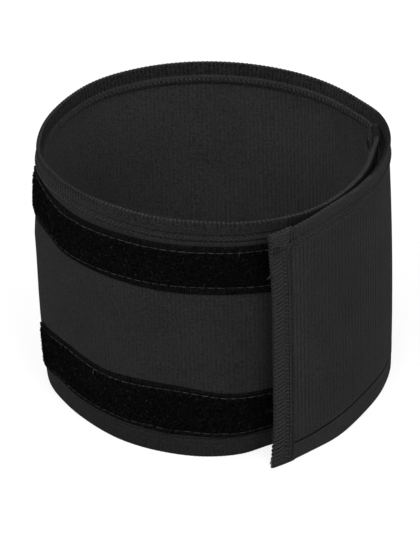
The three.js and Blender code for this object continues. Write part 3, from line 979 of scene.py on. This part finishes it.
def make_tape(side):
    """The woven tape: ribbed selvedges, a dip at each stitch line and a raised ground for the pile."""
    table = TAPES[side]
    start, end = along_at(table[0]["turn"]), along_at(table[-1]["turn"])
    along = np.arange(start, end, 0.0003)
    turn = turn_at(along)
    foot, low, high, head = (curve(table, name, turn) for name in ("foot", "low_line", "high_line", "head"))
    tick = 0.00006 * np.cos(along * 2 * math.pi / TICK_PITCH)
    ground = 0.00010 * np.sin(along * 2900) * np.sin(along * 1310 + 0.7)
    raised = tape_lift(side, turn)
    outside = []
    inside = []

    def out(height, lift):
        outside.append((height, -lift - raised))
        inside.append((height, 0.0001 - raised))

    out(foot, SELVEDGE_LIFT * 0.45 + 0 * along)
    out(foot + 0.00015, SELVEDGE_LIFT + tick)
    for share in (0.35, 0.7):
        out(foot + (low - foot) * share, SELVEDGE_LIFT + tick)
    out(low - 0.0003, SELVEDGE_LIFT + tick * 0.5)
    out(low, SELVEDGE_LIFT * 0.55 + 0 * along)
    out(low + 0.0004, PILE_BASE_LIFT + ground)
    for share in (0.12, 0.25, 0.38, 0.5, 0.62, 0.75, 0.88):
        out(low + (high - low) * share, PILE_BASE_LIFT + ground * math.cos(share * 40))
    out(high - 0.0004, PILE_BASE_LIFT + ground)
    out(high, SELVEDGE_LIFT * 0.55 + 0 * along)
    out(high + 0.0003, SELVEDGE_LIFT + tick * 0.5)
    for share in (0.3, 0.65):
        out(high + (head - high) * share, SELVEDGE_LIFT + tick)
    out(head - 0.00015, SELVEDGE_LIFT + tick)
    out(head, SELVEDGE_LIFT * 0.45 + 0 * along)
    tape = swept_piece(f"loop_tape_{side}", along, outside + inside[::-1], SELVEDGE)
    tape.data.materials.append(PILE)
    row = np.arange(len(tape.data.polygons)) % (2 * len(outside))
    tape.data.polygons.foreach_set("material_index", within(row, *PILE_ROWS).astype(np.int32))
    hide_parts(f"loop_strip_{side}")
    return tape


def make_pile(name, side, count, material):
    """The pile: thousands of small loops of thread, each leaning its own way."""
    table = TAPES[side]
    turn = np.interp(random.random(count), [0, 1], [table[0]["turn"] + 0.6, table[-1]["turn"] - 0.5])
    low, high = curve(table, "low_line", turn), curve(table, "high_line", turn)
    height = low + 0.0005 + (high - low - 0.0010) * random.random(count)
    size = random.uniform(*LOOP_SIZE, count)
    facing = random.random(count) * math.pi
    lean = random.normal(0, 0.55, count)
    points = place(turn, height, -(PILE_BASE_LIFT - 0.0001) - tape_lift(side, turn))
    normal = outward(turn)
    upright = np.array([0, 0, 1.0])
    level = np.cross(upright, normal)
    across = np.cos(facing)[:, None] * level + np.sin(facing)[:, None] * upright
    tilt = np.cross(normal, across)
    rise = normal * np.cos(lean)[:, None] + tilt * np.sin(lean)[:, None]
    t = np.linspace(-0.35, math.pi + 0.35, 6)
    path = (points[:, None] + across[:, None] * (np.cos(t) * size[:, None])[:, :, None]
            + rise[:, None] * (np.sin(t) * size[:, None] * 0.95)[:, :, None])
    sideways = np.broadcast_to(np.cross(across, rise)[:, None], path.shape)
    return threads(name, [(path, sideways, random.uniform(*LOOP_RADIUS, count), 3)], material)


def make_tape_stitches(side):
    """The two light stitch lines that hold a tape, and its loose threads."""
    table = TAPES[side]
    start, end = along_at(table[0]["turn"]) + 0.001, along_at(table[-1]["turn"]) - 0.001
    batches = [straight_row((table, column), start, end, TAPE_STITCH, 0.00016, 0.00056, fill=0.96)
               for column in ("low_line", "high_line")]
    batches += [loose_thread(*row) for row in LOOSE_THREADS[side]]
    return threads(f"stitches_{side}_tape", batches, TAPE_THREAD)


def loose_thread(radius, points):
    """A thread end through (turn, height, lift) points."""
    turns, heights, lifts = np.array(points, float).T
    t = np.linspace(0, len(points) - 1, 4 * len(points))
    k = np.arange(len(points))
    turn, height, lift = (np.interp(t, k, v) for v in (turns, heights, lifts))
    return place(turn, height, -lift)[None], outward(turn)[None], radius, 5


# Hook tapes


def make_hook_tape(side):
    """A stiff woven strip with rows of small hooks that face the loops."""
    foot = HOOK_FEET[side]
    along = np.arange(along_at(HOOK_START), along_at(HOOK_END), 0.0012)
    rows = np.linspace(foot, foot + HOOK_WIDTH, 9)
    face = WALL + 0.0003
    outside = [(height + 0 * along, face + 0 * along) for height in rows]
    inside = [(height + 0 * along, face + HOOK_BASE + 0 * along) for height in rows[::-1]]
    strip = swept_piece(f"hook_tape_{side}", along, outside + inside, HOOKS)
    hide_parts(f"hook_strip_{side}")
    places_along = np.arange(along[0] + 0.001, along[-1] - 0.001, HOOK_SPACING)
    places_up = np.arange(foot + 0.001, foot + HOOK_WIDTH - 0.0008, HOOK_SPACING)
    a, h = (grid.ravel() for grid in np.meshgrid(places_along, places_up))
    t = np.linspace(0, 1, 6)
    bend = math.pi * 1.25 * t
    turn = turn_at(a[:, None] + 0.00018 * (1 - np.cos(bend))[None])
    lift = face + HOOK_BASE + 0.00042 * np.sin(bend * 0.8)[None] + 0 * turn
    paths = place(turn, h[:, None] + 0 * turn, lift)
    sideways = np.broadcast_to(np.array([0, 0, 1.0]), paths.shape)
    hooks = threads(f"hooks_{side}", [(paths, sideways, 0.00007, 4)], HOOKS)
    return strip, hooks


# Floor, light and camera


def make_floor():
    mesh = bpy.data.meshes.new("floor")
    reach = 6.0
    corners = [(-reach, -reach, 0), (reach, -reach, 0), (reach, reach, 0), (-reach, reach, 0)]
    mesh.from_pydata(corners, [], [(0, 1, 2, 3)])
    material = bpy.data.materials.new("pale_floor")
    material.use_nodes = True
    set_inputs(material.node_tree.nodes["Principled BSDF"], {
        "Base Color": (0.10, 0.10, 0.10, 1), "Roughness": 0.9, "Specular IOR Level": 0.1,
        "Emission Color": (1, 1, 1, 1), "Emission Strength": 0.80,
    })
    mesh.materials.append(material)
    add_object("floor", mesh)


def make_light(name, location, size, power):
    """A soft box that faces the object."""
    data = bpy.data.lights.new(name, "AREA")
    data.shape = "DISK"
    data.size = size
    data.energy = power
    light = add_object(name, data)
    light.location = location
    towards = Vector((AXIS_X, AXIS_Y, BAND_HEIGHT / 2)) - Vector(location)
    light.rotation_mode = "QUATERNION"
    light.rotation_quaternion = towards.to_track_quat("-Z", "Y")


def make_world():
    world = bpy.data.worlds.new("studio")
    world.use_nodes = True
    set_inputs(world.node_tree.nodes["Background"], {"Color": (1, 1, 1, 1), "Strength": 0.30})
    bpy.context.scene.world = world


def make_camera():
    data = bpy.data.cameras.new("camera")
    data.sensor_width = 36.0
    data.lens = CAMERA_LENS
    data.shift_x, data.shift_y = CAMERA_SHIFT
    data.clip_start, data.clip_end = 0.1, 20.0
    camera = add_object("camera", data)
    forward = Vector((0, math.cos(CAMERA_ELEVATION), -math.sin(CAMERA_ELEVATION)))
    level = Vector((1, 0, 0))
    up = level.cross(forward)
    right = level * math.cos(CAMERA_ROLL) - up * math.sin(CAMERA_ROLL)
    up = up * math.cos(CAMERA_ROLL) + level * math.sin(CAMERA_ROLL)
    target = Vector((AXIS_X, AXIS_Y, BAND_HEIGHT / 2))
    matrix = Matrix((right, up, -forward)).transposed().to_4x4()
    matrix.translation = target - forward * CAMERA_DISTANCE
    camera.matrix_world = matrix
    bpy.context.scene.camera = camera


make_camera()
make_world()
make_floor()
for row in SOFT_BOXES:
    azimuth = math.radians(row["azimuth"])
    spot = (row["away"] * math.sin(azimuth), -row["away"] * math.cos(azimuth), row["height"])
    make_light(row["name"], spot, row["size"], row["power"])
bpy.context.scene.view_settings.view_transform = "Standard"

band = make_band()
hem_pieces = [
    *make_hem_stitches("upper_hem", True),
    *make_hem_stitches("lower_hem", False),
    make_overlock("overlock_free_end", True),
    make_overlock("overlock_inner_end", False),
]

for side, table in TAPES.items():
    tape = make_tape(side)
    pile = make_pile(f"pile_{side}", side, LOOPS_PER_TAPE, PILE)
    specks_and_glints = make_pile(f"pile_specks_and_glints_{side}", side, SPECKS_AND_GLINTS_PER_TAPE, SPECK_GLINT)
    lines = make_tape_stitches(side)
    strip, hooks = make_hook_tape(side)
